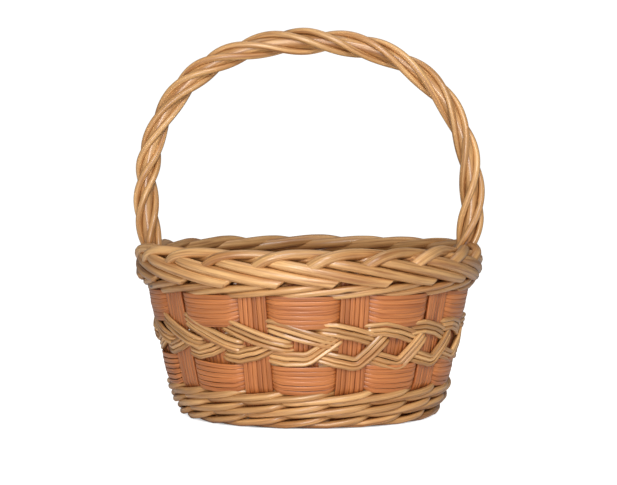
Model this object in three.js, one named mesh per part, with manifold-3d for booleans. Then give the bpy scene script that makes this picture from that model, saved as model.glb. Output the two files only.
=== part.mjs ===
// A round willow market basket with a fixed hoop handle, in millimetres, +Z up, standing on z = 0.
// Flat stakes of split willow rise from a pierced-cross base. From the foot up they carry three rounds
// of three-rod wale, a band of split skeins woven over one and under one, two opposed rows of pairing,
// a second band of skeins, one round of wale and a plaited border. The handle is a bow wrapped with rods.
import * as THREE from "three";
import { mergeVertices } from "three/addons/utils/BufferGeometryUtils.js";
import Module from "manifold-3d";

const manifold = await Module();
manifold.setup();

// ---- Driving dimensions -------------------------------------------------------------------------
const CLEARANCE = 0.3; // between two pieces that touch
const STAKES = 20;
const STAKE_TURN = -2; // degrees from the front centre to the nearest stake
const STAKE_WIDTH = 22.5;
const STAKE_THICKNESS = 1.6;
const STAKE_TAIL = 11; // length of stake pushed into the base

const WALL_RADIUS = 113.5; // of the stakes, at the top of the foot
const FLARE = 12; // degrees that the side leans out
const FOOT_ARC_RADIUS = 48; // of the curve that tucks the foot under
const FOOT_START_HEIGHT = 3.6; // of the stakes where the foot begins

const WALE_ROD = 3.9;
const WALE_SLACK = 0.95; // room between the two rods of a round, one above the other
const FOOT_ROUNDS = 3;
const TOP_ROUNDS = 1;

const SKEIN_WIDTH = 3.3;
const SKEIN_THICKNESS = 1.5;
const LOWER_SKEINS = 6;
const UPPER_SKEINS = 7;

const PAIRING_WIDTH = 7.4; // of three fine rods side by side
const PAIRING_THICKNESS = 3;
const PAIRING_SLACK = 0.6;

const BORDER_HEIGHT = 27;
const BORDER_OUT = 10.8; // how far the border stands out from the line of the stakes
const BORDER_IN = 9;
const BORDER_LOBE = 2.2; // depth of the dents between its rods

const BASE_THICKNESS = 8.2;
const BASE_EDGE = 5.5; // from the start of the stakes in to the edge of the woven base
const CROSS_RADIUS = 26; // of the open middle, where the crossed sticks show
const STICKS_PER_WAY = 4;
const STICK_WIDTH = 5;
const STICK_THICKNESS = 2.8;
const STICK_EDGE = 5; // from the end of a stick to the edge of the base

const HANDLE_OUT = 4.3; // from the line of the wall under the border out to the middle of the bow
const HANDLE_TOP = 310; // to the middle of the bow
const HANDLE_SHOULDER = 178; // height where the arch begins
const HANDLE_SQUARENESS = 2.3; // 2 is an ellipse
const BOW_IN_SIDE = 13.6; // length of the ends of the bow below the top of the upper skeins
const BOW_DIAMETER = 9.2;
const WRAP_DIAMETER = 5.8;
const WRAPS = 4;
const WRAP_LAY = 140; // length of one turn
const WRAP_IN_BORDER = 4.9; // from the bottom of the border up to where the wraps stop, inside it

// ---- The line of the wall -----------------------------------------------------------------------
const radians = THREE.MathUtils.degToRad;
const stakeStep = (2 * Math.PI) / STAKES;
const waleLevel = WALE_ROD + WALE_SLACK;
const walePitch = 2 * waleLevel;
const skeinPitch = SKEIN_WIDTH + CLEARANCE;
const pairingLevel = PAIRING_WIDTH + PAIRING_SLACK;
const footTop = FOOT_ROUNDS * walePitch;
const lowerBandTop = footTop + LOWER_SKEINS * skeinPitch;
const pairingTop = lowerBandTop + 4 * pairingLevel;
const upperBandTop = pairingTop + UPPER_SKEINS * skeinPitch;
const waleTop = upperBandTop + TOP_ROUNDS * walePitch;
const flare = radians(FLARE);
const footLean = flare + footTop / FOOT_ARC_RADIUS;
const footRadius = WALL_RADIUS - FOOT_ARC_RADIUS * (Math.cos(flare) - Math.cos(footLean));
const footHeight = FOOT_START_HEIGHT + FOOT_ARC_RADIUS * (Math.sin(footLean) - Math.sin(flare));

// The wall at a length up the stakes: its radius, its height and its lean from upright.
function wallAt(up) {
  if (up >= footTop) {
    const above = up - footTop;
    return {
      radius: WALL_RADIUS + above * Math.sin(flare),
      height: footHeight + above * Math.cos(flare),
      lean: flare,
    };
  }
  const lean = footLean - up / FOOT_ARC_RADIUS;
  return {
    radius: WALL_RADIUS - FOOT_ARC_RADIUS * (Math.cos(flare) - Math.cos(lean)),
    height: FOOT_START_HEIGHT + FOOT_ARC_RADIUS * (Math.sin(footLean) - Math.sin(lean)),
    lean,
  };
}

// The radius and height of a point that stands a distance out from the wall, square to it.
function besideWall(up, out) {
  const { radius, height, lean } = wallAt(up);
  return new THREE.Vector2(radius + out * Math.cos(lean), height - out * Math.sin(lean));
}

// A stake's angle, counted from the front (-Y) towards +X.
const stakeAngle = (stake) => radians(STAKE_TURN) + stake * stakeStep;

// A point beside one stake: across is along the stake's width, out is square to the wall.
function besideStake(stake, across, up, out) {
  const angle = stakeAngle(stake);
  const place = besideWall(up, out);
  return new THREE.Vector3(
    place.x * Math.sin(angle) + across * Math.cos(angle),
    -place.x * Math.cos(angle) + across * Math.sin(angle),
    place.y,
  );
}

// ---- Making solids ------------------------------------------------------------------------------
const material = (color, roughness) =>
  new THREE.MeshStandardMaterial({ color, roughness, metalness: 0 });
const skeinMaterial = material(0xc9793f, 0.5);
const rodMaterial = material(0xd9a663, 0.42);
const stickMaterial = material(0xcf9a5c, 0.55);

const basket = new THREE.Group();

function addPiece(name, geometry, pieceMaterial) {
  const piece = new THREE.Mesh(geometry, pieceMaterial);
  piece.name = name;
  basket.add(piece);
  return piece;
}

// A path through given points, with one step of an extrusion for each.
class PointPath extends THREE.Curve {
  constructor(points) {
    super();
    this.points = points;
  }

  getPoint(t) {
    const last = this.points.length - 1;
    const place = THREE.MathUtils.clamp(t, 0, 1) * last;
    const before = Math.min(Math.floor(place), last - 1);
    return new THREE.Vector3().lerpVectors(this.points[before], this.points[before + 1], place - before);
  }

  getUtoTmapping(u) {
    return u;
  }
}

function roundRod(points, diameter, sides) {
  const outline = new THREE.EllipseCurve(0, 0, diameter / 2, diameter / 2).getPoints(sides).slice(0, -1);
  return new THREE.ExtrudeGeometry(new THREE.Shape(outline), {
    extrudePath: new PointPath(points),
    steps: points.length - 1,
    curveSegments: sides,
  });
}

// A closed ring whose section is moved from station to station. corners(station) gives the section's
// corners there, in order.
function warpedRing(stations, cornerCount, corners) {
  const blank = new THREE.EllipseCurve(2, 0, 1, 1).getPoints(cornerCount);
  const ring = new THREE.LatheGeometry(blank, stations);
  const position = ring.getAttribute("position");
  for (let station = 0; station <= stations; station++) {
    const places = corners(station % stations);
    for (let corner = 0; corner <= cornerCount; corner++) {
      const { x, y, z } = places[corner % cornerCount];
      position.setXYZ(station * (cornerCount + 1) + corner, x, y, z);
    }
  }
  return ring;
}

// A flat strip woven round the stakes as a closed ring. layOf(stake) gives the side that it passes on,
// 1 for outside and -1 for inside, and where its middle is as it meets the stake and as it leaves it.
function wovenStrip(width, thickness, layOf) {
  const out = STAKE_THICKNESS / 2 + CLEARANCE + thickness / 2;
  const reach = STAKE_WIDTH / 2 + thickness / 2;
  return warpedRing(2 * STAKES, 4, (station) => {
    const stake = Math.floor(station / 2);
    const { side, meets, leaves } = layOf(stake);
    const across = station % 2 ? reach : -reach;
    const up = station % 2 ? leaves : meets;
    return [
      [-1, -1],
      [1, -1],
      [1, 1],
      [-1, 1],
    ].map(([outward, upward]) =>
      besideStake(stake, across, up + (upward * width) / 2, side * out + (outward * thickness) / 2),
    );
  });
}

function solidOf(geometry) {
  const bare = geometry.clone();
  bare.deleteAttribute("normal");
  bare.deleteAttribute("uv");
  const merged = mergeVertices(bare, 1e-3);
  return new manifold.Manifold(
    new manifold.Mesh({
      numProp: 3,
      vertProperties: merged.getAttribute("position").array,
      triVerts: new Uint32Array(merged.index.array),
    }),
  );
}

function geometryOf(solid) {
  const { vertProperties, triVerts } = solid.getMesh();
  return new THREE.BufferGeometry()
    .setAttribute("position", new THREE.BufferAttribute(vertProperties, 3))
    .setIndex(new THREE.BufferAttribute(triVerts, 1));
}

// ---- Stakes: flat bands of split willow, turned up from the base to the border ---------------------
const FOOT_STEPS = 5; // straight lengths in the curve of the foot
const stakeTop = waleTop;

function stakeGeometry(grow) {
  const half = STAKE_THICKNESS / 2 + grow;
  const tailRadius = footRadius - BASE_EDGE - STAKE_TAIL - grow;
  const heights = [...Array(FOOT_STEPS + 1).keys()].map((step) => (footTop * step) / FOOT_STEPS);
  const outside = [...heights, stakeTop].map((up) => besideWall(up, half));
  const inside = [...heights, stakeTop].map((up) => besideWall(up, -half));
  outside[0] = new THREE.Vector2(footRadius + half * Math.tan(footLean / 2), FOOT_START_HEIGHT - half);
  inside[0] = new THREE.Vector2(footRadius - half * Math.tan(footLean / 2), FOOT_START_HEIGHT + half);
  const outline = [
    new THREE.Vector2(tailRadius, FOOT_START_HEIGHT - half),
    ...outside,
    ...inside.reverse(),
    new THREE.Vector2(tailRadius, FOOT_START_HEIGHT + half),
  ];
  const width = STAKE_WIDTH + 2 * grow;
  return new THREE.ExtrudeGeometry(new THREE.Shape(outline), { depth: width, bevelEnabled: false })
    .translate(0, 0, -width / 2)
    .rotateX(Math.PI / 2);
}

const twoDigits = (number) => String(number).padStart(2, "0");

for (let stake = 0; stake < STAKES; stake++) {
  const piece = addPiece(`stake_${twoDigits(stake + 1)}`, stakeGeometry(0), skeinMaterial);
  piece.rotation.z = stakeAngle(stake) - Math.PI / 2;
}

// ---- Wale: three rods, each in front of two stakes and behind the third ----------------------------
const waleOut = STAKE_THICKNESS / 2 + 2 * CLEARANCE + WALE_ROD / 2;
const waleReach = STAKE_WIDTH / 2 + WALE_ROD / 3;
const CLIMB = 2.5; // stakes over which a round climbs to the next, left free beyond the end of a rod
const BACK_STAKE = STAKES / 2; // the rounds begin and end at the back

// How far up the wall a wale stands, a number of stakes after its start. Each round is level, and
// climbs to the next over its last stakes.
function waleRise(stakesAlong, rounds) {
  const round = Math.min(Math.floor(stakesAlong / STAKES), rounds - 1);
  const share = (stakesAlong - (round + 1) * STAKES + CLIMB) / CLIMB;
  const climb = round < rounds - 1 ? THREE.MathUtils.clamp(share, 0, 1) : 0;
  return (round + climb + 0.5) * walePitch;
}

function waleRod(order, bottom, rounds) {
  const points = [];
  const lastBehind = Math.floor((rounds * STAKES - CLIMB - order) / 3) * 3 + order;
  const add = (along, across, level, side) => {
    const up = bottom + waleRise(along, rounds) + (level * waleLevel) / 2;
    points.push(besideStake(BACK_STAKE + along, across, up, side * waleOut));
  };
  for (let along = order; along <= lastBehind; along++) {
    const turn = (along - order) % 3;
    if (turn === 0) {
      add(along - 0.5, 0, 1, -1);
      add(along + 0.5, 0, -1, -1);
    } else {
      const level = turn === 1 ? -1 : 1;
      add(along, -waleReach, level, 1);
      add(along, waleReach, level, 1);
    }
  }
  return roundRod(points, WALE_ROD, 5);
}

["a", "b", "c"].forEach((letter, order) => {
  addPiece(`foot_wale_rod_${letter}`, waleRod(order, 0, FOOT_ROUNDS), rodMaterial);
  addPiece(`top_wale_rod_${letter}`, waleRod(order, upperBandTop, TOP_ROUNDS), rodMaterial);
});

// ---- Skeins: split willow woven over one stake and under the next, every row alike -----------------
function addSkeins(name, count, bottom) {
  for (let row = 0; row < count; row++) {
    const middle = bottom + (row + 0.5) * skeinPitch;
    const layOf = (stake) => ({ side: stake % 2 ? -1 : 1, meets: middle, leaves: middle });
    addPiece(`${name}_${row + 1}`, wovenStrip(SKEIN_WIDTH, SKEIN_THICKNESS, layOf), skeinMaterial);
  }
}

addSkeins("lower_skein", LOWER_SKEINS, footTop);
addSkeins("upper_skein", UPPER_SKEINS, pairingTop);

// ---- Pairing: two weavers of three fine rods, crossing between stakes. The upper row falls to the
// right in front, the lower row climbs, so that together they make a chain of arrows. ----------------
function addPairing(name, bottom, falls) {
  const low = bottom + pairingLevel / 2;
  const high = low + pairingLevel;
  ["a", "b"].forEach((letter, order) => {
    const layOf = (stake) => {
      const outside = (stake + order) % 2 === 0;
      const down = outside === falls;
      return { side: outside ? 1 : -1, meets: down ? high : low, leaves: down ? low : high };
    };
    const strip = wovenStrip(PAIRING_WIDTH, PAIRING_THICKNESS, layOf);
    addPiece(`${name}_${letter}`, strip, rodMaterial);
  });
}

addPairing("lower_pairing_weaver", lowerBandTop, false);
addPairing("upper_pairing_weaver", lowerBandTop + 2 * pairingLevel, true);

// ---- Handle: a bow pushed down inside the wall at each side, with four rods laid round it ----------
const bowInset = STAKE_THICKNESS / 2 + 2 * CLEARANCE + WALE_ROD + BOW_DIAMETER / 2;
const bowFoot = wallAt(upperBandTop).radius - bowInset - 5;
const halfSpan = wallAt(waleTop).radius + HANDLE_OUT;
const bowEnd = wallAt(upperBandTop).height - BOW_IN_SIDE;
const wrapEnd = wallAt(waleTop).height + WRAP_IN_BORDER;
const ARCH_STEPS = 36;
const LEG_STEPS = 9;

// The middle line of the bow, from its left end over the top to its right end.
function bowPoints() {
  const legTop = new THREE.Vector2(halfSpan, HANDLE_SHOULDER);
  const legEnd = new THREE.Vector2(bowFoot, bowEnd);
  const drop = HANDLE_SHOULDER - bowEnd;
  const leg = new THREE.CubicBezierCurve(
    legTop,
    new THREE.Vector2(legTop.x + 0.5, legTop.y - 0.53 * drop),
    new THREE.Vector2(legEnd.x, legEnd.y + 0.37 * drop),
    legEnd,
  );
  const right = [];
  for (let step = 0; step < ARCH_STEPS / 2; step++) {
    const angle = (Math.PI / 2) * (1 - (2 * step) / ARCH_STEPS);
    const power = 2 / HANDLE_SQUARENESS;
    right.push(
      new THREE.Vector2(
        halfSpan * Math.cos(angle) ** power,
        HANDLE_SHOULDER + (HANDLE_TOP - HANDLE_SHOULDER) * Math.sin(angle) ** power,
      ),
    );
  }
  right.push(...leg.getPoints(LEG_STEPS));
  const left = right.slice(1).reverse();
  return [...left.map((p) => new THREE.Vector3(-p.x, 0, p.y)), ...right.map((p) => new THREE.Vector3(p.x, 0, p.y))];
}

const bowLine = new THREE.CatmullRomCurve3(bowPoints());
const BOW_STEPS = 52;
const WRAP_STEPS_PER_TURN = 13;

// A rod laid round the bow, beginning at an angle from the outside of the bow towards the front.
function wrapPoints(startAngle) {
  const outward = BOW_DIAMETER / 2 + 2 * CLEARANCE + WRAP_DIAMETER / 2;
  const length = bowLine.getLength();
  const steps = Math.ceil((length / WRAP_LAY) * WRAP_STEPS_PER_TURN);
  const points = [];
  for (let step = 0; step <= steps; step++) {
    const share = step / steps;
    const middle = bowLine.getPointAt(share);
    if (middle.z < wrapEnd) continue;
    const along = bowLine.getTangentAt(share);
    const front = new THREE.Vector3(0, -1, 0);
    const outside = new THREE.Vector3().crossVectors(front, along).normalize();
    const angle = startAngle + (2 * Math.PI * share * length) / WRAP_LAY;
    points.push(
      middle
        .clone()
        .addScaledVector(outside, outward * Math.cos(angle))
        .addScaledVector(front, outward * Math.sin(angle)),
    );
  }
  return points;
}

const bow = (grow) => roundRod(bowLine.getSpacedPoints(BOW_STEPS), BOW_DIAMETER + 2 * grow, 7);
const wrap = (order, grow) =>
  roundRod(wrapPoints((order * 2 * Math.PI) / WRAPS), WRAP_DIAMETER + 2 * grow, 6);

addPiece("handle_bow", bow(0), rodMaterial);
for (let order = 0; order < WRAPS; order++) addPiece(`handle_wrap_${order + 1}`, wrap(order, 0), rodMaterial);

// ---- Border: the plaited rim, a ring with a slanting dent between each rod and the next, and a
// socket each side for the handle ---------------------------------------------------------------------
const BORDER_STATIONS_PER_STAKE = 4;
const borderSection = [
  [-0.7, 0],
  [0.45, 0],
  [0.95, 0.16],
  [1, 0.5],
  [0.72, 0.84],
  [0.1, 1],
  [-0.75, 0.92],
  [-1, 0.5],
];

function borderGeometry() {
  const bottom = wallAt(waleTop);
  const start = bottom.height + CLEARANCE;
  return warpedRing(BORDER_STATIONS_PER_STAKE * STAKES, borderSection.length, (station) => {
    const angle = radians(STAKE_TURN) + (station * stakeStep) / BORDER_STATIONS_PER_STAKE;
    return borderSection.map(([outward, upward]) => {
      const slant = station / BORDER_STATIONS_PER_STAKE + 2 * upward;
      const dent = outward > 0 ? BORDER_LOBE * Math.sin(Math.PI * (slant % 1)) - BORDER_LOBE : 0;
      const out = outward * (outward > 0 ? BORDER_OUT : BORDER_IN) + dent;
      const radius = bottom.radius + out + upward * BORDER_HEIGHT * Math.tan(flare);
      return new THREE.Vector3(
        radius * Math.sin(angle),
        -radius * Math.cos(angle),
        start + upward * BORDER_HEIGHT,
      );
    });
  });
}

let border = solidOf(borderGeometry()).subtract(solidOf(bow(CLEARANCE)));
for (let order = 0; order < WRAPS; order++) border = border.subtract(solidOf(wrap(order, CLEARANCE)));
addPiece("rim_border", geometryOf(border), rodMaterial);

// ---- Base: two sets of crossed sticks, one set pierced by the other, and the weave that opens them
// out like spokes. The stakes' tails lie under the sticks, in the weave. -----------------------------
const baseRadius = footRadius - BASE_EDGE;
const stickBottom = FOOT_START_HEIGHT + STAKE_THICKNESS / 2 + 2 * CLEARANCE;
const stickPitch = STICK_WIDTH + CLEARANCE;
const crossHalf = (STICKS_PER_WAY * stickPitch) / 2 + CLEARANCE;
const SPOKE_STEP = 180 / (2 * STICKS_PER_WAY); // degrees

// A stick's plan: straight across the middle, then bent out to its own spoke at each end.
function stickOutline(order, grow) {
  const place = order - (STICKS_PER_WAY - 1) / 2;
  const spoke = radians(SPOKE_STEP * place);
  const bend = new THREE.Vector2(crossHalf, place * stickPitch);
  const end = new THREE.Vector2(Math.cos(spoke), Math.sin(spoke)).multiplyScalar(baseRadius - STICK_EDGE);
  const along = end.clone().sub(bend).normalize();
  const square = new THREE.Vector2(-along.y, along.x);
  const half = STICK_WIDTH / 2 + grow;
  end.addScaledVector(along, grow);
  const edge = (side) => {
    const corner = bend.clone();
    corner.x -= side * half * Math.tan(along.angle() / 2);
    corner.y += side * half;
    const right = [corner, end.clone().addScaledVector(square, side * half)];
    return [...right.map(({ x, y }) => new THREE.Vector2(-x, y)).reverse(), ...right];
  };
  return new THREE.Shape([...edge(-1), ...edge(1).reverse()]);
}

function stickGeometry(order, thickness, grow) {
  return new THREE.ExtrudeGeometry(stickOutline(order, grow), {
    depth: thickness + 2 * grow,
    bevelEnabled: false,
  }).translate(0, 0, stickBottom - grow + (STICK_THICKNESS - thickness) / 2);
}

const piercingThickness = STICK_THICKNESS / 3; // of the sticks that pass through the slits
const stickSolids = [];
for (let order = 0; order < STICKS_PER_WAY; order++) {
  const pierced = stickGeometry(order, STICK_THICKNESS, 0);
  const slit = new THREE.BoxGeometry(
    2 * crossHalf + STICK_WIDTH,
    3 * crossHalf,
    piercingThickness + 2 * CLEARANCE,
  ).translate(0, 0, stickBottom + STICK_THICKNESS / 2);
  addPiece(
    `base_stick_pierced_${order + 1}`,
    geometryOf(solidOf(pierced).subtract(solidOf(slit))),
    stickMaterial,
  );
  addPiece(
    `base_stick_through_${order + 1}`,
    stickGeometry(order, piercingThickness, 0).rotateZ(Math.PI / 2),
    stickMaterial,
  );
  stickSolids.push(
    solidOf(stickGeometry(order, STICK_THICKNESS, CLEARANCE)),
    solidOf(stickGeometry(order, STICK_THICKNESS, CLEARANCE).rotateZ(Math.PI / 2)),
  );
}

function baseWeaveGeometry() {
  const section = [
    [CROSS_RADIUS, 0],
    [baseRadius, 0],
    [baseRadius, BASE_THICKNESS],
    [CROSS_RADIUS, BASE_THICKNESS],
    [CROSS_RADIUS, 0],
  ].map(([radius, height]) => new THREE.Vector2(radius, height));
  let weave = solidOf(new THREE.LatheGeometry(section, 40).rotateX(Math.PI / 2));
  stickSolids.forEach((stick) => {
    weave = weave.subtract(stick);
  });
  for (let stake = 0; stake < STAKES; stake++) {
    const tail = stakeGeometry(CLEARANCE).rotateZ(stakeAngle(stake) - Math.PI / 2);
    weave = weave.subtract(solidOf(tail));
  }
  return geometryOf(weave);
}

addPiece("base_weave", baseWeaveGeometry(), rodMaterial);

export default basket;
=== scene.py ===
import math

import bpy
import numpy as np
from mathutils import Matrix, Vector


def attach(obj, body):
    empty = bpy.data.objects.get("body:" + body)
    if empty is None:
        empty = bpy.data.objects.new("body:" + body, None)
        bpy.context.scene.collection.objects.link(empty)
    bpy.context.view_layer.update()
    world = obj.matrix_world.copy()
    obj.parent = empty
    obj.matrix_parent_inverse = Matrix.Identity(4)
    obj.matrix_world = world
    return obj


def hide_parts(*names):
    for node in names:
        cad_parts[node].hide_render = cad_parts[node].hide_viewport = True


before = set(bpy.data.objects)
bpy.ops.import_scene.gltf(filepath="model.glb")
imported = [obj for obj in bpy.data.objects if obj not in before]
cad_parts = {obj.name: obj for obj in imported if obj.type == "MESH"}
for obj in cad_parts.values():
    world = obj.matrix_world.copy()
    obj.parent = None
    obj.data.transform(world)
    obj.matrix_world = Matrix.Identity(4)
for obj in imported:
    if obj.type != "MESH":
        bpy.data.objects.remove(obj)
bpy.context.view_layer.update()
bpy.ops.object.select_all(action="DESELECT")

# ---- The studio ----------------------------------------------------------------------------------
# A white table and a white surround, with one soft box above the camera, one low before the foot and
# one overhead. The camera stands a little above the border and looks slightly down on the basket.
TABLE_RADIUS = 9
TABLE_DROP = 0.0004  # below the basket, so that the two never touch
TABLE_GLOW = 0.95  # seen by the camera alone, so that the table lights nothing
SHADED_RADIUS = 0.094  # the glow stops under the basket
SHADED_EDGE = 0.011
SURROUND_SEEN = 1.05
SURROUND_LIGHT = 0.17
EYE_HEIGHT = 0.218
EYE_DISTANCE = 1.671
EYE_ASIDE = -0.0004
LOOKS_DOWN = 2.59
LENS = 116.7
SENSOR = 36

bpy.context.scene.view_settings.view_transform = "Standard"

bpy.ops.mesh.primitive_circle_add(
    vertices=96,
    radius=TABLE_RADIUS,
    fill_type="NGON",
    location=(0, 0, -TABLE_DROP),
)
table = bpy.context.active_object
table.name = "studio_table"

paper = bpy.data.materials.new("white_paper")
paper.use_nodes = True
paper_nodes, paper_links = paper.node_tree.nodes, paper.node_tree.links
paper_face = paper_nodes["Principled BSDF"]
paper_face.inputs["Base Color"].default_value = (0.93, 0.93, 0.93, 1)
paper_face.inputs["Roughness"].default_value = 0.9
paper_face.inputs["Emission Color"].default_value = (1, 1, 1, 1)
spot = paper_nodes.new("ShaderNodeTexCoord")
reach = paper_nodes.new("ShaderNodeVectorMath")
reach.operation = "LENGTH"
paper_links.new(spot.outputs["Object"], reach.inputs[0])
glow = paper_nodes.new("ShaderNodeMapRange")
glow.inputs["From Min"].default_value = SHADED_RADIUS
glow.inputs["From Max"].default_value = SHADED_RADIUS + SHADED_EDGE
glow.inputs["To Max"].default_value = TABLE_GLOW
paper_links.new(reach.outputs["Value"], glow.inputs["Value"])
looked_at = paper_nodes.new("ShaderNodeLightPath")
seen_glow = paper_nodes.new("ShaderNodeMath")
seen_glow.operation = "MULTIPLY"
paper_links.new(glow.outputs["Result"], seen_glow.inputs[0])
paper_links.new(looked_at.outputs["Is Camera Ray"], seen_glow.inputs[1])
paper_links.new(seen_glow.outputs[0], paper_face.inputs["Emission Strength"])
table.data.materials.append(paper)

surround = bpy.data.worlds.new("white_surround")
bpy.context.scene.world = surround
surround.use_nodes = True
surround_nodes, surround_links = surround.node_tree.nodes, surround.node_tree.links
seen_white = surround_nodes.new("ShaderNodeBackground")
seen_white.inputs["Color"].default_value = (1, 1, 1, 1)
seen_white.inputs["Strength"].default_value = SURROUND_SEEN
soft_fill = surround_nodes["Background"]
soft_fill.inputs["Color"].default_value = (1, 0.985, 0.965, 1)
soft_fill.inputs["Strength"].default_value = SURROUND_LIGHT
what_looks = surround_nodes.new("ShaderNodeLightPath")
choose = surround_nodes.new("ShaderNodeMixShader")
surround_links.new(what_looks.outputs["Is Camera Ray"], choose.inputs["Fac"])
surround_links.new(soft_fill.outputs[0], choose.inputs[1])
surround_links.new(seen_white.outputs[0], choose.inputs[2])
surround_links.new(choose.outputs[0], surround_nodes["World Output"].inputs["Surface"])


def hang_soft_box(name, place, aim, size, watts):
    bpy.ops.object.light_add(type="AREA", location=place)
    box = bpy.context.active_object
    box.name = name
    box.data.shape = "RECTANGLE"
    box.data.size, box.data.size_y = size
    box.data.energy = watts
    box.rotation_euler = (Vector(aim) - Vector(place)).to_track_quat("-Z", "Y").to_euler()


hang_soft_box("key_soft_box", (0.25, -1.6, 1.05), (0, 0, 0.08), (0.7, 0.4), 17)
hang_soft_box("fill_soft_box", (-0.25, -1.8, 0.2), (0, 0, 0.01), (0.5, 0.4), 14)
hang_soft_box("top_soft_box", (0, 0.1, 1.6), (0, 0, 0.1), (1.0, 1.0), 4.4)

bpy.ops.object.camera_add(
    location=(EYE_ASIDE, -EYE_DISTANCE, EYE_HEIGHT),
    rotation=(math.radians(90 - LOOKS_DOWN), 0, 0),
)
camera = bpy.context.active_object
camera.data.lens = LENS
camera.data.sensor_width = SENSOR
camera.data.clip_start = 0.05
bpy.context.scene.camera = camera

# ---- Base ----------------------------------------------------------------------------------------
# Four willow sticks are slit and four more pushed through them to make a cross. Two fine rods then
# weave round it by turns, over one stick and under the next, and open the sticks out into spokes.
SPOKES = 16
BASE_MIDDLE = 0.0052  # height of the sticks
STICK = 0.005
STICK_SLIT = 0.0058  # a slit stick swells where the others pass through it
STICK_THROUGH = 0.0036  # and those are shaved thinner there
STICK_REACH = 0.0905
STICK_STEP = 0.0052  # between the sticks of a set where the sets cross
CROSS_REACH = 0.016  # from the middle to where the sticks begin to open
CROSS_SHARE = 0.62
STICK_POINTS = 61
WEAVER = 0.0037
WEAVE_TURNS = 17
WEAVE_START = 0.0225
WEAVE_WIDTH = 0.0737
WEAVE_APART = 0.00217  # between one weaver and the other
WEAVE_RISE = 0.0026  # over and under the sticks
WEAVE_LEVEL = 0.005
chance = np.random.default_rng(20)  # the small differences between one rod and the next


def softened(values, window, ends="edge", **how):
    """Rounds the corners in a run of values."""
    window = np.asarray(window, float) / np.sum(window)
    return np.convolve(np.pad(values, len(window) // 2, ends, **how), window, "valid")


def mark_grain(rod, lengths, around, count, caps):
    """Gives each point its place along and across the rod, so that the wood's streaks run with it."""
    sides = len(around)
    grain = np.zeros((caps * sides + count * sides, 3), np.float32)
    ring = np.tile(around, (count, 1)).reshape(count, sides, 3)
    ring = ring + lengths[:, None, None] * np.array([1.0, 0, 0])
    grain[caps * sides :] = ring.reshape(-1, 3)
    if caps:
        grain[:sides] = ring[-1]
        grain[sides : 2 * sides] = ring[0]
    layer = rod.data.attributes.new("grain", "FLOAT_VECTOR", "POINT")
    layer.data.foreach_set("vector", grain.ravel())


def mark_tone(rod):
    """One rod is paler or darker all over than the next."""
    tone = rod.data.attributes.new("tone", "FLOAT", "POINT")
    tone.data.foreach_set("value", np.full(len(rod.data.vertices), chance.uniform(), np.float32))


def lengths_along(points):
    """How far each point is along the line, from a start of its own in the wood's pattern."""
    steps = np.linalg.norm(np.diff(points, axis=0), axis=1)
    return np.r_[0, np.cumsum(steps)] + chance.uniform(0, 40)


def lay_rod(name, points, thickness, material, bevel=3, closed=False, section=None, tilt=None):
    """Lays one rod along a line of points, or one flat skein if a section is given. The thickness
    of a skein is a share of its section."""
    points = np.asarray(points, float)
    count = len(points)
    line = bpy.data.curves.new(name, "CURVE")
    line.dimensions = "3D"
    line.twist_mode = "Z_UP" if section else "MINIMUM"
    spline = line.splines.new("POLY")
    spline.points.add(count - 1)
    spline.points.foreach_set("co", np.c_[points, np.ones(count)].astype(np.float32).ravel())
    width = np.broadcast_to(thickness if section else thickness / 2, (count,)).astype(np.float32)
    spline.points.foreach_set("radius", np.ascontiguousarray(width))
    if tilt is not None:
        spline.points.foreach_set("tilt", np.full(count, tilt, np.float32))
    spline.use_cyclic_u = closed
    line.use_fill_caps = not closed
    if section:
        line.bevel_mode = "OBJECT"
        line.bevel_object = section
        outline = np.array([p.co[:2] for p in section.data.splines[0].points])
    else:
        line.bevel_depth = 1
        line.bevel_resolution = bevel
        sides = 2 * bevel + 4  # as the curve makes them
        turn = np.linspace(0, 2 * math.pi, sides, endpoint=False)
        outline = np.c_[np.cos(turn), np.sin(turn)] * float(np.mean(thickness)) / 2
    rod = bpy.data.objects.new(name, line)
    bpy.context.collection.objects.link(rod)
    bpy.ops.object.select_all(action="DESELECT")
    rod.select_set(True)
    bpy.context.view_layer.objects.active = rod
    bpy.ops.object.convert(target="MESH")
    rod = bpy.context.active_object
    rod.name = name
    around = np.c_[np.zeros(len(outline)), outline]
    mark_grain(rod, lengths_along(points), around, count, 0 if closed else 2)
    mark_tone(rod)
    if not closed:
        bpy.ops.object.mode_set(mode="EDIT")
        bpy.ops.mesh.select_all(action="SELECT")
        bpy.ops.mesh.remove_doubles(threshold=1e-6)
        bpy.ops.object.mode_set(mode="OBJECT")
    bpy.ops.object.shade_smooth_by_angle(angle=math.radians(40))
    rod.data.materials.append(material)
    return rod


def gather(name, rods, *stands_for, finish="willow_rod"):
    """Ties rods of one kind together as one piece that rides on the basket."""
    bpy.ops.object.select_all(action="DESELECT")
    for rod in rods:
        rod.select_set(True)
    bpy.context.view_layer.objects.active = rods[0]
    if len(rods) > 1:
        bpy.ops.object.join()
    piece = bpy.context.active_object
    piece.name = name
    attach(piece, "root")
    if stands_for:
        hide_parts(*stands_for)


def linear(*srgb):
    """A colour given as red, green and blue out of 255, as the shader wants it."""
    return tuple(((c / 255 + 0.055) / 1.055) ** 2.4 for c in srgb) + (1,)


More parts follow.
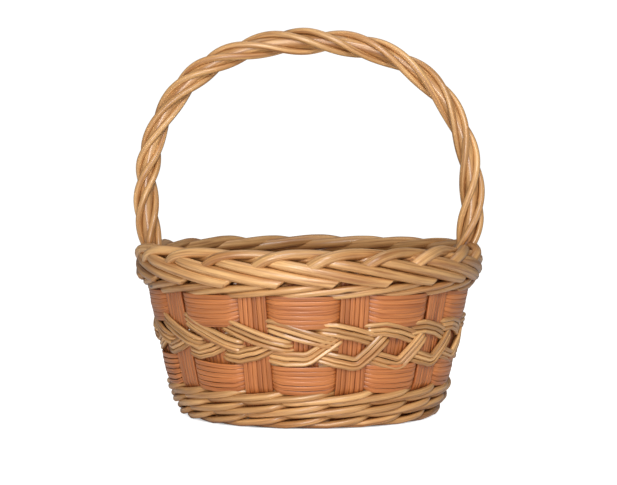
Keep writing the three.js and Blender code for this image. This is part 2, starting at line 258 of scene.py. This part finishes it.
def varnished_wood(name, light, middle, dark, knot, streak=520, gloss=0.36):
    """Wood under a thin satin varnish, with streaks along the grain, cloudy patches, a few small knots, and
    painted shade that darkens the wood where the rods touch."""
    wood = bpy.data.materials.new(name)
    wood.use_nodes = True
    nodes, links = wood.node_tree.nodes, wood.node_tree.links
    shader = nodes["Principled BSDF"]
    black, white = (0, 0, 0, 1), (1, 1, 1, 1)

    def along_grain(*scale):
        grain = nodes.new("ShaderNodeAttribute")
        grain.attribute_name = "grain"
        stretch = nodes.new("ShaderNodeMapping")
        stretch.inputs["Scale"].default_value = scale
        links.new(grain.outputs["Vector"], stretch.inputs["Vector"])
        return stretch.outputs["Vector"]

    def noise(vector):
        cloud = nodes.new("ShaderNodeTexNoise")
        cloud.inputs["Scale"].default_value = 1
        cloud.inputs["Detail"].default_value = 3
        cloud.inputs["Roughness"].default_value = 0.6
        links.new(vector, cloud.inputs["Vector"])
        return cloud.outputs["Fac"]

    def ramp(factor, *stops):
        band = nodes.new("ShaderNodeValToRGB")
        while len(band.color_ramp.elements) < len(stops):
            band.color_ramp.elements.new(0.5)
        for element, (place, colour) in zip(band.color_ramp.elements, stops):
            element.position = place
            element.color = colour
        links.new(factor, band.inputs["Fac"])
        return band.outputs["Color"]

    def blend(kind, share, under, over):
        mix = nodes.new("ShaderNodeMix")
        mix.data_type = "RGBA"
        mix.blend_type = kind
        sockets = mix.inputs["Factor"], mix.inputs[6], mix.inputs[7]
        for value, socket in zip((share, under, over), sockets):
            if isinstance(value, bpy.types.NodeSocket):
                links.new(value, socket)
            else:
                socket.default_value = value
        return mix.outputs[2]

    streaks = noise(along_grain(16, streak, streak))
    clouds = noise(along_grain(9, 60, 60))
    colour = ramp(clouds, (0.3, middle), (0.5, light), (0.72, middle))
    streaked = ramp(streaks, (0.4, black), (0.72, (0.85, 0.85, 0.85, 1)))
    colour = blend("MIX", streaked, colour, dark)

    tone = nodes.new("ShaderNodeAttribute")
    tone.attribute_name = "tone"
    toned = ramp(tone.outputs["Fac"], (0, (0.78, 0.72, 0.64, 1)), (1, (1.08, 1.06, 1.04, 1)))
    colour = blend("MULTIPLY", 1.0, colour, toned)

    spots = nodes.new("ShaderNodeTexVoronoi")
    spots.inputs["Scale"].default_value = 1
    links.new(along_grain(26, 110, 110), spots.inputs["Vector"])
    rare = nodes.new("ShaderNodeSeparateColor")
    links.new(spots.outputs["Color"], rare.inputs["Color"])
    few = nodes.new("ShaderNodeMath")
    few.operation = "GREATER_THAN"
    few.inputs[1].default_value = 0.8
    links.new(rare.outputs["Red"], few.inputs[0])
    marked = nodes.new("ShaderNodeMath")
    marked.operation = "MULTIPLY"
    links.new(ramp(spots.outputs["Distance"], (0.07, white), (0.19, black)), marked.inputs[0])
    links.new(few.outputs[0], marked.inputs[1])
    colour = blend("MIX", marked.outputs[0], colour, knot)

    # Painted shade: ambient occlusion darkens the colour to deep brown in the crevices where the rods touch.
    crevice_occlusion = nodes.new("ShaderNodeAmbientOcclusion")
    crevice_occlusion.samples = 6
    crevice_occlusion.inputs["Distance"].default_value = 0.007
    deepest_shade, light_shade = (0.36, 0.22, 0.12, 1), (0.82, 0.72, 0.6, 1)
    painted_crevice_shade = ramp(crevice_occlusion.outputs["AO"], (0.1, deepest_shade), (0.5, light_shade))
    unshaded = painted_crevice_shade.node.color_ramp.elements.new(0.85)
    unshaded.color = white
    links.new(blend("MULTIPLY", 1.0, colour, painted_crevice_shade), shader.inputs["Base Color"])

    rough = nodes.new("ShaderNodeMapRange")
    rough.inputs["To Min"].default_value = gloss - 0.06
    rough.inputs["To Max"].default_value = gloss + 0.14
    links.new(clouds, rough.inputs["Value"])
    links.new(rough.outputs["Result"], shader.inputs["Roughness"])
    raised = nodes.new("ShaderNodeBump")
    raised.inputs["Strength"].default_value = 0.16
    raised.inputs["Distance"].default_value = 0.0006
    links.new(streaks, raised.inputs["Height"])
    links.new(raised.outputs["Normal"], shader.inputs["Normal"])
    shader.inputs["Coat Weight"].default_value = 0.32
    shader.inputs["Coat Roughness"].default_value = 0.2
    return wood


buffed_rod = varnished_wood(
    "buffed_willow_rod",
    linear(226, 181, 124),
    linear(198, 143, 88),
    linear(140, 84, 40),
    linear(74, 40, 18),
)
stick_wood = varnished_wood(
    "base_stick_wood",
    linear(214, 160, 100),
    linear(198, 140, 82),
    linear(158, 100, 52),
    linear(80, 44, 20),
)

for order in range(4):
    place = order - 1.5
    spoke = math.radians(360 / SPOKES * place)
    tip_x, tip_y = STICK_REACH * math.cos(spoke), STICK_REACH * math.sin(spoke)
    across = STICK_STEP * place
    share = np.linspace(0, 3, STICK_POINTS)
    x = np.interp(share, range(4), [-tip_x, -CROSS_REACH, CROSS_REACH, tip_x])
    y = np.interp(share, range(4), [tip_y, across, across, tip_y])
    y = softened(y, np.ones(13))
    in_cross = np.abs(share - 1.5) < CROSS_SHARE
    for set_name, line_x, line_y, at_cross in (
        ("pierced", x, y, STICK_SLIT),
        ("through", -y, x, STICK_THROUGH),
    ):
        name = f"base_stick_{set_name}_{order + 1}"
        line = np.c_[line_x, line_y, np.full(STICK_POINTS, BASE_MIDDLE)]
        thickness = np.where(in_cross, at_cross, STICK)
        stick = lay_rod(name + "_round", line, thickness, stick_wood, 4)
        gather(name + "_round", [stick], name, finish="base_stick")

weavers = []
for order in range(2):
    turn = np.linspace(0, WEAVE_TURNS * 2 * math.pi, WEAVE_TURNS * SPOKES * 8)
    radius = WEAVE_START + WEAVE_WIDTH * (turn / turn[-1]) + order * WEAVE_APART
    over = np.cos(turn * SPOKES / 2 + math.pi * order)
    height = WEAVE_LEVEL + WEAVE_RISE * np.clip(1.3 * over, -1, 1)
    angle = turn + math.pi / SPOKES
    line = np.c_[radius * np.cos(angle), radius * np.sin(angle), height]
    weavers.append(lay_rod(f"base_weaver_{order + 1}", line, WEAVER, buffed_rod, 1))
gather("base_weaving", weavers, "base_weave")

# ---- Stakes --------------------------------------------------------------------------------------
# Each stake is six split canes laid side by side as one flat band. Its tail is pushed into the base,
# and it is turned up sharply to carry the side. Every other stake shows in front of the skeins.
STAKES = sum(node.startswith("stake_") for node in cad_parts)
SPACING = 2 * math.pi / STAKES
FIRST_STAKE = math.radians(-2)  # from the front to the nearest stake
CANES = 6
CANE_WIDTH = 0.00385
CANE_THICKNESS = 0.0019
CANE_GAP = 0.00004
CANE_CROWN = 0.55
CANE_POINTS = 60
CANE_FOOT = 0.0095
CANE_TOP = 0.121
TAIL = np.array([(0.079, 0.0022), (0.088, 0.0024), (0.0945, 0.0036), (0.0985, 0.0062)])  # radius, height
SHOWN_OUT = 0.0007  # a stake that shows stands out of the wall
HIDDEN_OUT = -0.0009
UNEVEN = 0.00012  # how far canes and skeins stray from their neighbours
CANE_WAVE = 0.0002
# The middle of the wall: it curves out of the foot and then flares evenly up to the border.
WALL = np.array(
    [
        (0.0000, 0.0945),
        (0.0025, 0.0985),
        (0.0067, 0.1022),
        (0.0109, 0.1048),
        (0.0150, 0.1071),
        (0.0192, 0.1090),
        (0.0276, 0.1118),
        (0.0340, 0.1145),
        (0.0500, 0.1182),
        (0.0800, 0.1246),
        (0.1070, 0.1303),
        (0.1160, 0.1318),
        (0.1500, 0.1370),
    ]
)


def wall_radius(height):
    return np.interp(height, WALL[:, 0], WALL[:, 1])


def wall_lean(height):
    rise = 0.004
    return np.arctan((wall_radius(height + rise) - wall_radius(height - rise)) / (2 * rise))


def on_wall(angle, height, out):
    """Points beside the wall: angle in radians from the front towards +X, out square to the wall."""
    lean = wall_lean(height)
    radius = wall_radius(height) + out * np.cos(lean)
    return np.c_[radius * np.sin(angle), -radius * np.cos(angle), height - out * np.sin(lean)]


def stake_angle(stake):
    return FIRST_STAKE + SPACING * stake


def flat_section(name, width, thick, crown):
    """The cut end of a split cane or skein: flat behind, domed in front, with rounded edges."""
    across = [-0.5, -0.46, -0.3, 0, 0.3, 0.46, 0.5]
    raised = [0.35, 0.72, 0.94, 1, 0.94, 0.72, 0.35]
    front = [(thick * (r * crown + (1 - crown)) - thick / 2, a * width) for a, r in zip(across, raised)]
    edge = 0.44 * width
    back = [(-thick / 2, edge), (-thick / 2, -edge)]
    outline = bpy.data.curves.new(name, "CURVE")
    outline.dimensions = "2D"
    spline = outline.splines.new("POLY")
    spline.points.add(len(front) + len(back) - 1)
    for point, (x, y) in zip(spline.points, [*front, *back][::-1]):
        point.co = (x, y, 0, 1)
    spline.use_cyclic_u = True
    holder = bpy.data.objects.new(name, outline)
    holder.hide_render = True
    bpy.context.collection.objects.link(holder)
    return holder


split_willow = varnished_wood(
    "split_willow",
    linear(199, 125, 68),
    linear(182, 108, 55),
    linear(138, 72, 29),
    linear(104, 52, 22),
    streak=900,
    gloss=0.42,
)
cane_section = flat_section("cane_section", CANE_WIDTH, CANE_THICKNESS, CANE_CROWN)


def lay_cane(name, line, side):
    """A flat cane swept up its line by hand, so that it faces outwards and never twists."""
    steps = np.gradient(line, axis=0)
    outwards = np.cross(side, steps / np.linalg.norm(steps, axis=1)[:, None])
    outline = np.array([p.co[:2] for p in cane_section.data.splines[0].points])[::-1]
    count, corners = len(line), len(outline)
    rings = line[:, None] + outline[:, :1] * outwards[:, None] + outline[:, 1:] * side
    faces = []
    for low in range(0, (count - 1) * corners, corners):
        high = low + corners
        for corner in range(corners):
            after = (corner + 1) % corners
            faces.append((low + corner, low + after, high + after, high + corner))
    faces.append(tuple(range(corners))[::-1])
    faces.append(tuple(range((count - 1) * corners, count * corners)))
    mesh = bpy.data.meshes.new(name)
    mesh.from_pydata(rings.reshape(-1, 3).tolist(), [], faces)
    cane = bpy.data.objects.new(name, mesh)
    bpy.context.collection.objects.link(cane)
    mark_grain(cane, lengths_along(line), np.c_[np.zeros(corners), outline], count, 0)
    mark_tone(cane)
    bpy.ops.object.select_all(action="DESELECT")
    cane.select_set(True)
    bpy.context.view_layer.objects.active = cane
    bpy.ops.object.shade_smooth_by_angle(angle=math.radians(50))
    mesh.materials.append(split_willow)
    return cane


def turn_up(stake):
    """The canes of one stake, from the base up into the border."""
    canes = []
    middle = stake_angle(stake)
    side = np.array([math.cos(middle), math.sin(middle), 0])
    outwards = np.array([math.sin(middle), -math.cos(middle), 0])
    upwards = np.array([0, 0, 1])
    heights = np.linspace(CANE_FOOT, CANE_TOP, CANE_POINTS)
    pushed = np.interp(heights, [0.02, 0.034, 0.05, 0.066, 0.082, 0.1, 0.112], [0, 1, 1, 0.3, 1, 1, 0])
    lean = wall_lean(heights)
    for cane in range(CANES):
        across = (cane - (CANES - 1) / 2) * (CANE_WIDTH + CANE_GAP)
        out = (SHOWN_OUT if stake % 2 else HIDDEN_OUT) * pushed + chance.normal(0, UNEVEN)
        out = out + CANE_WAVE * np.sin(heights * 140 + chance.uniform(0, 6))
        upright = np.c_[wall_radius(heights) + out * np.cos(lean), heights - out * np.sin(lean)]
        run = np.vstack([TAIL, upright])
        line = across * side + run[:, :1] * outwards + run[:, 1:] * upwards
        canes.append(lay_cane(f"cane_{stake}_{cane}", line, side))
    return canes


for stake in range(STAKES):
    number = f"{stake + 1:02d}"
    gather(f"split_cane_stake_{number}", turn_up(stake), f"stake_{number}", finish="split_willow")

# ---- Foot and top wale ---------------------------------------------------------------------------
# Three round rods woven in turn, each in front of two stakes and behind one. Every stroke climbs from
# under the one before. Three rounds make the foot, and one round ties the side under the border.
FOOT_ROD = 0.0058
FOOT_BOTTOM = 0.0012
FOOT_PITCH = 0.0097
FOOT_ROUNDS = 3
TOP_ROD = 0.0062
TOP_BOTTOM = 0.1066
TOP_PITCH = 0.0105
TOP_ENDS = (21, 22, 20)  # stakes from the start, where each top rod meets the next one's start
WALE_START = stake_angle(10.5)  # at the back
WALE_STEP = 0.055
WALE_CLIMB = 2.5  # stakes over which a round climbs to the next
WALE_WAVE = 0.0003
TABLE_CLEARANCE = 0.0003
# A stroke by stakes passed: how high it lies, as a share of half the pitch, and how far out.
STROKE_RISE_AT = [0, 0.25, 1, 1.75, 2, 2.5, 3]
STROKE_RISE = [-0.98, -0.74, 0, 0.66, 0.86, 0.1, -0.98]
STROKE_OUT_AT = [0, 0.22, 0.6, 1, 1.4, 1.78, 2, 2.25, 2.5, 2.75, 3]
STROKE_OUT = [-0.0012, 0.002, 0.0034, 0.0043, 0.0049, 0.004, 0.0006, -0.0034, -0.0044, -0.0039, -0.0012]


def wale_line(first, last, rounds, bottom, pitch, thickness):
    """One rod of a wale, from its start at the back of the basket until its last stroke."""
    along = np.linspace(first, last, int((last - first) / WALE_STEP))
    stroke = np.mod(along - first, 3)
    rise = softened(np.interp(stroke, STROKE_RISE_AT, STROKE_RISE) * pitch / 2, np.ones(5))
    out = softened(np.interp(stroke, STROKE_OUT_AT, STROKE_OUT), np.ones(5))
    finished = np.minimum(np.floor(along / STAKES), rounds - 1)
    climb = np.clip((along - (finished + 1) * STAKES + WALE_CLIMB) / WALE_CLIMB, 0, 1)
    climb = np.where(finished == rounds - 1, 0, climb)
    height = bottom + (finished + climb + 0.5) * pitch + rise + WALE_WAVE * np.sin(along * 1.7 + first)
    line = on_wall(WALE_START + along * SPACING, height, out)
    line[:, 2] = np.maximum(line[:, 2], thickness / 2 + TABLE_CLEARANCE)
    return line


for order, letter in enumerate("abc"):
    last = FOOT_ROUNDS * STAKES - 3 + order
    line = wale_line(order, last, FOOT_ROUNDS, FOOT_BOTTOM, FOOT_PITCH, FOOT_ROD)
    rod = lay_rod(f"foot_rod_{letter}", line, FOOT_ROD, buffed_rod)
    gather(f"foot_rod_{letter}", [rod], f"foot_wale_rod_{letter}")
    line = wale_line(order, TOP_ENDS[order], 1, TOP_BOTTOM, TOP_PITCH, TOP_ROD)
    rod = lay_rod(f"top_rod_{letter}", line, TOP_ROD, buffed_rod)
    gather(f"top_rod_{letter}", [rod], f"top_wale_rod_{letter}")

# ---- Skeins --------------------------------------------------------------------------------------
# Willow split three ways and shaved flat, packed in rows above and below the braid. Every row runs
# behind the stakes that show and bulges out over the ones between.
SKEIN_WIDTH = 0.00378
SKEIN_THICKNESS = 0.0017
SKEIN_CROWN = 0.28
SKEIN_POINTS = 720
SKEIN_BULGE = 0.0006  # in the middle of a band
SAGS = 40  # places round the basket where a skein strays up or down
# By how far it is from a stake that shows, in stakes: how far out a skein lies, how loose the band
# is there, and how much of its width a skein keeps.
DIVE_AT = [0, 0.24, 0.3, 0.36, 0.44, 0.6, 0.8, 1]
DIVE_OUT = [-0.0014, -0.0014, -0.0013, 0.0006, 0.0022, 0.0032, 0.0039, 0.0041]
LOOSE_AT, LOOSE = [0, 0.3, 0.55, 1.0], [0, 0.1, 0.85, 1.0]
KEPT_AT, KEPT = [0, 0.3, 0.36, 0.44, 0.6], [0.82, 0.82, 0.86, 0.95, 1]
skein_section = flat_section("skein_section", SKEIN_WIDTH, SKEIN_THICKNESS, SKEIN_CROWN)


def far_left(angle):
    """From 0 over most of the basket to 1 at its left end."""
    return np.clip((-np.sin(angle) - 0.5) / 0.35, 0, 1)


def weave_band(name, rows, top, pitch, pinched, lift, node):
    """Rows of skeins, counted from the bottom of the band as their nodes are. Where the rows dive
    behind a stake they are pinched together. The lift fans the band open at the far left."""
    angle = math.pi + np.linspace(0, 2 * math.pi, SKEIN_POINTS, endpoint=False)
    place = np.mod((angle - stake_angle(1)) / SPACING, 2)
    away = np.abs(place - np.round(place / 2) * 2)
    dive = softened(np.interp(away, DIVE_AT, DIVE_OUT), np.ones(5), "wrap")
    loose = np.interp(away, LOOSE_AT, LOOSE)
    kept = np.interp(away, KEPT_AT, KEPT)
    for row in range(rows):
        down = rows - 0.5 - row  # rows from the top of the band
        sag = chance.normal(0, UNEVEN, SAGS)
        sag_at = np.linspace(0, SAGS, SKEIN_POINTS, endpoint=False)
        drift = np.interp(sag_at, range(SAGS + 1), [*sag, sag[0]])
        bulge = SKEIN_BULGE * math.sin(math.pi * down / rows) * loose
        height = top - down * (pinched + (pitch - pinched) * loose) + drift
        height = height + lift * far_left(angle) * (1 - down / rows)
        line = on_wall(angle, height, dive + drift + bulge)
        lean = float(wall_lean(top - down * pitch))
        number = row + 1
        skein = lay_rod(
            f"{name}_{number}",
            line,
            kept,
            split_willow,
            closed=True,
            section=skein_section,
            tilt=lean,
        )
        gather(f"{name}_{number}", [skein], f"{node}_{number}", finish="split_willow")


weave_band("foot_side_skein", 6, 0.0517, 0.00372, 0.00315, 0.0034, "lower_skein")
weave_band("border_side_skein", 7, 0.1072, 0.00368, 0.00312, 0, "upper_skein")

# ---- Braid ---------------------------------------------------------------------------------------
# Two rows of pairing, each of two weavers of three fine rods. The upper row falls to the right and
# the lower row climbs, so that the strokes lock together in a chain of arrows.
BRAID_ROD = 0.0039
BRAID_APART = 0.0038  # between the rods of a weaver
BRAID_RADIUS = 0.122
BRAID_POINTS = 2400
SLOW_WAVE = 0.00022
QUICK_WAVE = 0.00015
# One stroke runs from behind one stake, at -1, over the next, at 0, to behind the third, at 1. Its
# height and how far out it lies are in millimetres. The strokes lie flatter on the left.
STROKE_AT = [-1, -0.8, -0.65, -0.35, 0, 0.12, 0.4, 0.63, 0.74, 0.82, 1]
UPPER_STROKE = {
    "height_left": [78, 83.5, 84.5, 80.2, 75, 73.5, 70.0, 67.2, 66.2, 67.5, 78],
    "height_right": [76, 78, 79.8, 81, 78.0, 76.4, 72.6, 70, 69.4, 70.5, 76],
    "out_left": [-3.4, -2, 1.2, 3.0, 3.6, 4.0, 4.8, 3.6, 1.0, -2.8, -3.4],
    "out_right": [-3.4, -1.6, 2.4, 4.0, 3.6, 3.2, 2.2, 0.6, -1.6, -3.0, -3.4],
    "lift": 1.4,
}
LOWER_STROKE = {
    "height_left": [64, 61, 59.4, 58.4, 62.2, 64.6, 70.0, 72.6, 73.2, 72.5, 64],
    "height_right": [65, 60.5, 58.8, 55.6, 52.2, 53.0, 64.0, 72.6, 75.2, 75, 65],
    "out_left": [-3.4, -2.4, 1.0, 3.0, 3.0, 2.1, -0.3, -1.6, -2.4, -3.0, -3.4],
    "out_right": [-3.4, -2.4, 0.8, 3.0, 3.4, 3.5, 4.4, 3.4, 0.8, -2.6, -3.4],
    "lift": 2.4,
}


def pairing_line(order, strand, shape):
    """One rod of a weaver."""
    angle = math.pi + np.linspace(0, 2 * math.pi, BRAID_POINTS, endpoint=False)
    stroke = np.mod((angle - stake_angle(order)) / SPACING + 1, 2) - 1
    right = np.clip(0.5 + 1.3 * np.sin(angle), 0, 1)
    height, out = (
        np.interp(stroke, STROKE_AT, shape[way + "_left"]) * (1 - right)
        + np.interp(stroke, STROKE_AT, shape[way + "_right"]) * right
        for way in ("height", "out")
    )
    height = softened(height + shape["lift"] * far_left(angle), np.hanning(19), "wrap") / 1000
    out = softened(out, np.hanning(19), "wrap") / 1000
    slope = np.arctan(np.gradient(height) / (BRAID_RADIUS * 2 * math.pi / BRAID_POINTS))
    shift = (strand - 1) * BRAID_APART
    wander = SLOW_WAVE * np.sin(angle * 7 + strand * 2 + order)
    wander = wander + QUICK_WAVE * np.sin(angle * 23 + strand * 5)
    angle = angle - shift * np.sin(slope) / BRAID_RADIUS
    return on_wall(angle, height + shift * np.cos(slope) + wander, out)


for row, shape in (("lower", LOWER_STROKE), ("upper", UPPER_STROKE)):
    for order, letter in enumerate("ab"):
        rods = []
        for strand in range(3):
            line = pairing_line(order, strand, shape)
            name = f"{row}_braid_{letter}{strand}"
            rods.append(lay_rod(name, line, BRAID_ROD, buffed_rod, 2, closed=True))
        gather(f"{row}_braid_{letter}", rods, f"{row}_pairing_weaver_{letter}")

# ---- Border --------------------------------------------------------------------------------------
# One stout rod beside each stake rises over the rim, runs to the right behind the next two, then
# comes out and slants down across the outside, where its end is cut off on the slant.
BORDER_ROD = 0.0090
BORDER_START = math.radians(-0.9)  # from the front to the nearest rod's rise
BORDER_POINTS = 130
BORDER_UNEVEN = 0.05  # one rod is stouter than the next
BORDER_WAVE = 0.3  # millimetres
BORDER_TRIM = 0.008
# How much the knife's cut faces ahead, outwards and down.
KNIFE_AHEAD = 0.62
KNIFE_OUT = 0.3
KNIFE_DOWN = 0.72
RIM_STEP = 45  # millimetres of rim from one stake to the next
# Each rod's way by stakes passed, with its radius and height in millimetres.
BORDER_RUN = np.array(
    [
        (-0.4, 128.0, 117.0),
        (-0.15, 133.5, 122.5),
        (0.08, 139.0, 129.5),
        (0.3, 140.8, 135.0),
        (0.6, 138.2, 138.2),
        (0.95, 134.0, 138.8),
        (1.35, 131.0, 137.4),
        (1.75, 130.4, 135.6),
        (2.05, 132.6, 134.4),
        (2.3, 137.0, 133.2),
        (2.6, 139.9, 131.2),
        (3.1, 140.4, 127.2),
        (3.6, 140.0, 123.0),
        (4.1, 139.2, 119.0),
        (4.75, 137.6, 115.4),
    ]
)


def rounded(knots, count):
    """A smooth line through given points."""
    gaps = np.linalg.norm(np.diff(knots * [RIM_STEP, 1, 1], axis=0), axis=1)
    place = np.r_[0, np.cumsum(gaps)]
    slopes = np.gradient(knots, place, axis=0)
    at = np.linspace(0, place[-1], count)
    cell = np.clip(np.searchsorted(place, at, "right") - 1, 0, len(place) - 2)
    width = (place[cell + 1] - place[cell])[:, None]
    t = (at - place[cell])[:, None] / width
    start, end = knots[cell], knots[cell + 1]
    leaving, arriving = slopes[cell] * width, slopes[cell + 1] * width
    along = start * (2 * t**3 - 3 * t**2 + 1) + end * (3 * t**2 - 2 * t**3)
    return along + leaving * (t**3 - 2 * t**2 + t) + arriving * (t**3 - t**2)


for order in range(STAKES):
    run = rounded(BORDER_RUN, BORDER_POINTS)
    run[:, 1] += chance.normal(0, BORDER_WAVE) + BORDER_WAVE * np.sin(run[:, 0] * 2.1 + chance.uniform(0, 6))
    run[:, 2] += BORDER_WAVE * np.sin(run[:, 0] * 1.7 + chance.uniform(0, 6))
    angle = BORDER_START + SPACING * order + run[:, 0] * SPACING
    radius, height = run[:, 1] / 1000, run[:, 2] / 1000
    line = np.c_[radius * np.sin(angle), -radius * np.cos(angle), height]
    taper = np.interp(np.linspace(0, 1, BORDER_POINTS), [0, 0.06, 0.9, 1], [0.8, 1, 1, 0.92])
    thickness = BORDER_ROD * (1 + BORDER_UNEVEN * chance.normal()) * taper
    rod = lay_rod(f"border_rod_{order + 1:02d}", line, thickness, buffed_rod, 4)
    ahead = line[-1] - line[-6]
    ahead /= np.linalg.norm(ahead)
    outwards = np.array([math.sin(angle[-1]), -math.cos(angle[-1]), 0])
    knife = KNIFE_AHEAD * ahead + KNIFE_OUT * outwards - KNIFE_DOWN * np.array([0, 0, 1])
    bpy.ops.object.mode_set(mode="EDIT")
    bpy.ops.mesh.select_all(action="SELECT")
    cut_at = line[-1] - ahead * BORDER_TRIM
    bpy.ops.mesh.bisect(plane_co=cut_at, plane_no=knife, use_fill=True, clear_outer=True)
    bpy.ops.object.mode_set(mode="OBJECT")
    gather(f"border_rod_{order + 1:02d}", [rod], *(["rim_border"] if order == 0 else []))

# ---- Handle --------------------------------------------------------------------------------------
# A stout willow bow is pushed down into the side weave at each side. Four long rods are laid round it
# from one foot to the other, so that the handle looks like a loose rope.
HANDLE_TOP = 0.310
HANDLE_SHOULDER = 0.178
HANDLE_SQUARENESS = 2.3
BOW_POINTS = 240
STRAND_POINTS = 420
STRAND = 0.0056
STRAND_WANDER = 0.16  # radians round the bow
STRAND_LOOSE = 0.05  # a share of how far out it lies
LEG_LENGTH = 0.085
# Down a leg from the shoulder: share of the leg, and how far it stands from the middle.
LEG_AT = [0, 0.16, 0.33, 0.45, 0.57, 0.7, 0.85, 1]
LEG_OUT = [0.1362, 0.1357, 0.1336, 0.1312, 0.1274, 0.1228, 0.1198, 0.1182]
# Along the bow from the left foot to the right: its thickness, and how far out the strands lie.
BOW_AT = [0, 0.25, 0.5, 0.75, 1]
BOW_THICKNESS = [0.0108, 0.0124, 0.0124, 0.0118, 0.0108]
REACH_AT = [0, 0.12, 0.17, 0.26, 0.5, 0.74, 0.83, 0.88, 1]
REACH = [0.0056, 0.0080, 0.0076, 0.0067, 0.0083, 0.0068, 0.0076, 0.0080, 0.0056]
# Where along the bow the dents between the strands lie on its outer side, a quarter turn apart.
TWIST_AT = [0, 0.171, 0.206, 0.256, 0.315, 0.360, 0.409, 0.465, 0.520, 0.574, 0.634, 0.694, 0.753, 0.807, 1]
TWIST_QUARTERS = [-2.9, *np.arange(0.5, 13), 16]


def bow_line(count):
    """The middle of the bow from the left foot over the crown to the right foot, evenly spaced."""
    power = 2 / HANDLE_SQUARENESS
    angle = np.linspace(0, math.pi / 2, 400)
    x = LEG_OUT[0] * np.sin(angle) ** power
    z = HANDLE_SHOULDER + (HANDLE_TOP - HANDLE_SHOULDER) * np.cos(angle) ** power
    drop = np.linspace(0, 1, 120)[1:]
    leg_x = np.interp(drop, LEG_AT, LEG_OUT)
    leg_z = HANDLE_SHOULDER - drop * LEG_LENGTH
    right = np.c_[np.r_[x, leg_x], np.r_[z, leg_z]]
    whole = np.vstack([right[::-1] * [-1, 1], right[1:]])
    place = np.r_[0, np.cumsum(np.linalg.norm(np.diff(whole, axis=0), axis=1))]
    at = np.linspace(0, place[-1], count)
    even = [np.interp(at, place, whole[:, axis]) for axis in (0, 1)]
    soft = [softened(values, np.ones(9), "reflect", reflect_type="odd") for values in even]
    return at / at[-1], np.c_[soft[0], soft[1]]


def strand_line(start):
    """One of the rods laid round the bow, from a start given as an angle round it."""
    share, bow = bow_line(STRAND_POINTS)
    along = np.gradient(bow, axis=0)
    along /= np.linalg.norm(along, axis=1)[:, None]
    outside = np.c_[-along[:, 1], along[:, 0]]
    quarters = np.interp(share, TWIST_AT, TWIST_QUARTERS)
    quarters = softened(quarters, np.ones(21), "reflect", reflect_type="odd")
    angle = start + math.pi / 2 * quarters + STRAND_WANDER * np.sin(7 * share + 2.3 * start)
    loose = 1 + STRAND_LOOSE * np.sin(23 * share + 1.7 * start)
    reach = np.interp(share, REACH_AT, REACH) * loose
    side = reach * np.cos(angle)
    front = reach * np.sin(angle)
    return np.c_[bow[:, 0] + outside[:, 0] * side, -front, bow[:, 1] + outside[:, 1] * side]


share, bow = bow_line(BOW_POINTS)
bow_thickness = np.interp(share, BOW_AT, BOW_THICKNESS)
bow_points = np.c_[bow[:, 0], np.zeros(BOW_POINTS), bow[:, 1]]
bow_rod = lay_rod("handle_core", bow_points, bow_thickness, buffed_rod, 4)
gather("handle_core", [bow_rod], "handle_bow")
for order in range(4):
    name = f"handle_strand_{order + 1}"
    strand = lay_rod(name, strand_line(math.pi / 2 * order), STRAND, buffed_rod, 4)
    gather(name, [strand], f"handle_wrap_{order + 1}")

for section in (cane_section, skein_section):
    bpy.data.objects.remove(section)
